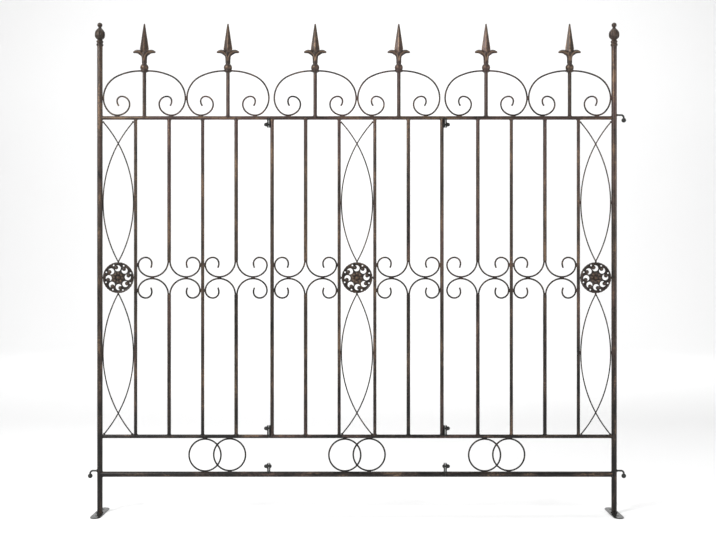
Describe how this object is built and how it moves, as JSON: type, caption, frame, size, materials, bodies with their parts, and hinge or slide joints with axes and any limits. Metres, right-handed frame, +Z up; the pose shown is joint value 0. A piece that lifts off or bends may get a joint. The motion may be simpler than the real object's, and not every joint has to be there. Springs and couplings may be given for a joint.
{
  "type": "metal garden fence",
  "caption": "Free-standing ornamental garden fence of round steel tube in three bolted sections, with scrolls, arches, spears, openwork medallions, ball finials and screw-down feet.",
  "frame": {"origin": "middle of the left foot plate's underside, on the ground", "axes": "+X along the fence from the left foot to the right foot, +Y from the front to the back, +Z up"},
  "size_m": [1.6134, 0.13, 1.4716],
  "materials": {
    "tube_paint": "antique bronze paint on steel tube, brushed to coppery brown in patches, satin",
    "wire_paint": "dark bronze paint on steel wire, satin",
    "cast_bronze_paint": "antique bronze paint on castings, dark in the hollows and rubbed paler on the high edges",
    "blackened_steel": "near black paint on steel fittings, slightly glossier",
    "foot_plate_paint": "dark grey glossy paint on flat steel plate"
  },
  "bodies": {
    "root": {"left_arches": "wire_paint", "left_bars": "tube_paint", "left_bottom_rail": "tube_paint", "left_cross_wires": "wire_paint", "left_foot_plate": "foot_plate_paint", "left_hooks": "blackened_steel", "left_joint_bolts": "blackened_steel", "left_joint_straps": "blackened_steel", "left_lower_rail": "tube_paint", "left_medallion": "cast_bronze_paint", "left_post": "tube_paint", "left_post_finial": "cast_bronze_paint", "left_rings": "wire_paint", "left_scrolls": "wire_paint", "left_spears": "cast_bronze_paint", "left_top_rail": "tube_paint", "middle_arches": "wire_paint", "middle_bars": "tube_paint", "middle_bottom_rail": "tube_paint", "middle_cross_wires": "wire_paint", "middle_left_stile": "tube_paint", "middle_left_straps": "blackened_steel", "middle_lower_rail": "tube_paint", "middle_medallion": "cast_bronze_paint", "middle_right_stile": "tube_paint", "middle_right_straps": "blackened_steel", "middle_rings": "wire_paint", "middle_scrolls": "wire_paint", "middle_spears": "cast_bronze_paint", "middle_top_rail": "tube_paint", "right_arches": "wire_paint", "right_bars": "tube_paint", "right_bottom_rail": "tube_paint", "right_cross_wires": "wire_paint", "right_foot_plate": "foot_plate_paint", "right_hooks": "blackened_steel", "right_joint_bolts": "blackened_steel", "right_joint_straps": "blackened_steel", "right_lower_rail": "tube_paint", "right_medallion": "cast_bronze_paint", "right_post": "tube_paint", "right_post_finial": "cast_bronze_paint", "right_rings": "wire_paint", "right_scrolls": "wire_paint", "right_spears": "cast_bronze_paint", "right_top_rail": "tube_paint"}
  },
  "joints": []
}
